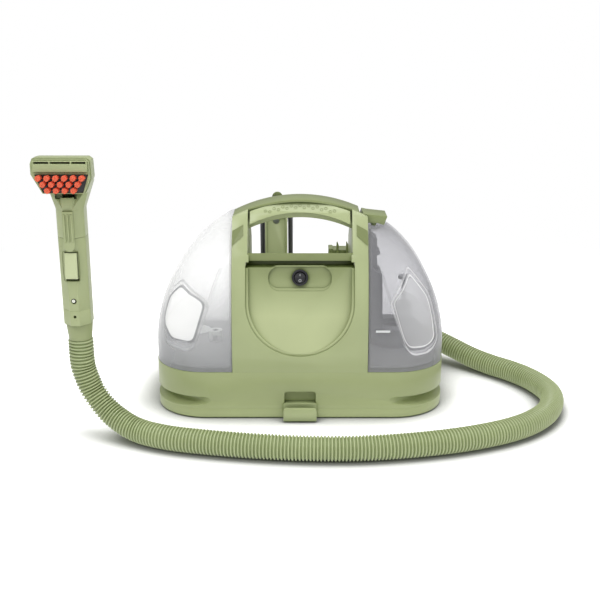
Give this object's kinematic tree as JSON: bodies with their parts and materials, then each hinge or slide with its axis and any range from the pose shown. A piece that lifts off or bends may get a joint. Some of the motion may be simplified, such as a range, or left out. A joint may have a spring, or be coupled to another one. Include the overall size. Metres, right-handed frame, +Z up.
{
  "type": "spot extractor",
  "caption": "Portable carpet and upholstery spot extractor with a domed body, two lift-off tanks, arched handle, ribbed hose and spray tool.",
  "frame": {"origin": "centre of the base's footprint on the floor, at the underside of its centre foot", "axes": "+Z up, -Y towards the face with the switch, +X towards the recovery tank"},
  "size_m": [0.6283, 0.3763, 0.3356],
  "materials": {
    "body_green": "satin",
    "base_green": "satin",
    "pale_green": "satin",
    "olive_green": "satin",
    "clear_tank": "polished",
    "smoke_tank": "polished",
    "white_plastic": "satin",
    "grey_plastic": "satin",
    "dark_plastic": "satin",
    "black_plastic": "satin",
    "tube": "satin",
    "rubber": "matt",
    "cord_black": "matt",
    "steel": "brushed",
    "bristle_red": "satin"
  },
  "bodies": {
    "base": {"base_pan": "base_green", "base_shell": "base_green", "rubber_feet": "rubber", "base_screws": "steel", "hose_clip": "body_green", "front_housing": "body_green", "rear_housing": "body_green", "face_panel": "pale_green", "handle_grip": "pale_green", "handle_top": "olive_green", "switch_bezel": "black_plastic", "latch_pin": "steel", "latch_spring": "steel", "valve_seat": "body_green", "intake_seal": "rubber", "port_seal": "rubber", "suction_duct": "dark_plastic", "air_duct": "dark_plastic", "motor_case": "dark_plastic", "motor_mount": "rubber", "fan_cover": "dark_plastic", "pump": "dark_plastic", "pump_inlet": "tube", "pump_outlet": "tube", "tool_rest": "olive_green", "wrap_post": "body_green", "wrap_screw": "steel", "strain_relief": "black_plastic", "power_cord": "cord_black", "power_plug": "black_plastic", "hose_elbow": "olive_green", "hose": "body_green", "hose_cuff": "olive_green", "wand_body": "body_green", "wand_front": "body_green", "trigger_pin": "steel", "trigger_spring": "steel", "spray_line": "tube"},
    "rocker": {"switch_rocker": "black_plastic"},
    "latch": {"tank_latch": "olive_green"},
    "clean_tank": {"clean_tank": "clear_tank", "valve_collar": "white_plastic", "valve_spring": "steel"},
    "clean_cap": {"clean_cap": "white_plastic", "clean_cap_seal": "rubber"},
    "poppet": {"valve_poppet": "white_plastic"},
    "recovery_tank": {"recovery_tank": "smoke_tank", "separator_base": "grey_plastic", "separator_tower": "grey_plastic", "float_guide": "grey_plastic"},
    "float": {"float": "white_plastic"},
    "impeller": {"motor_rotor": "steel", "fan_wheel": "white_plastic"},
    "wrap_hook": {"wrap_hook": "olive_green"},
    "trigger": {"trigger": "pale_green"},
    "tool_head": {"nozzle_head": "body_green", "nozzle_lip": "pale_green", "lock_tab": "pale_green", "brush_block": "dark_plastic", "brush_tufts": "bristle_red"}
  },
  "joints": [
    {"name": "switch_rock", "type": "hinge", "parent": "base", "child": "rocker", "pos_m": [0, -0.08176, 0.17578], "axis": [-1, 0, 0], "range_deg": [0, 16]},
    {"name": "latch_hinge", "type": "hinge", "parent": "base", "child": "latch", "pos_m": [0.074, -0.0245, 0.235], "axis": [0, -1, 0], "range_deg": [0, 12], "stiffness_Nm_per_rad": 0.6, "springref_deg": -8.59},
    {"name": "clean_tank_lift", "type": "slide", "parent": "base", "child": "clean_tank", "axis": [0, 0, 1], "range_m": [0, 0.06]},
    {"name": "clean_cap_turn", "type": "hinge", "parent": "clean_tank", "child": "clean_cap", "pos_m": [-0.142, 0.044, 0.058], "axis": [0, 0, 1], "range_deg": [0, 90]},
    {"name": "poppet_slide", "type": "slide", "parent": "clean_tank", "child": "poppet", "axis": [0, 0, 1], "range_m": [0, 0.002], "stiffness_N_per_m": 60, "springref_m": -0.001},
    {"name": "recovery_tank_slide", "type": "slide", "parent": "base", "child": "recovery_tank", "axis": [1, 0, 0], "range_m": [0, 0.045]},
    {"name": "float_rise", "type": "slide", "parent": "recovery_tank", "child": "float", "axis": [0, 0, 1], "range_m": [0, 0.03]},
    {"name": "impeller_spin", "type": "hinge", "parent": "base", "child": "impeller", "pos_m": [0.018, -0.014, 0.06], "axis": [0, 0, 1], "continuous": true},
    {"name": "wrap_hook_turn", "type": "hinge", "parent": "base", "child": "wrap_hook", "pos_m": [-0.032, 0.09, 0.217], "axis": [0, 1, 0], "range_deg": [0, 180]},
    {"name": "trigger_squeeze", "type": "hinge", "parent": "base", "child": "trigger", "pos_m": [-0.256, -0.16, 0.223], "axis": [1, 0, 0], "range_deg": [0, 12], "stiffness_Nm_per_rad": 0.25, "springref_deg": -5.73},
    {"name": "tool_head_slide", "type": "slide", "parent": "base", "child": "tool_head", "axis": [0, 0, 1], "range_m": [0, 0.03]}
  ]
}
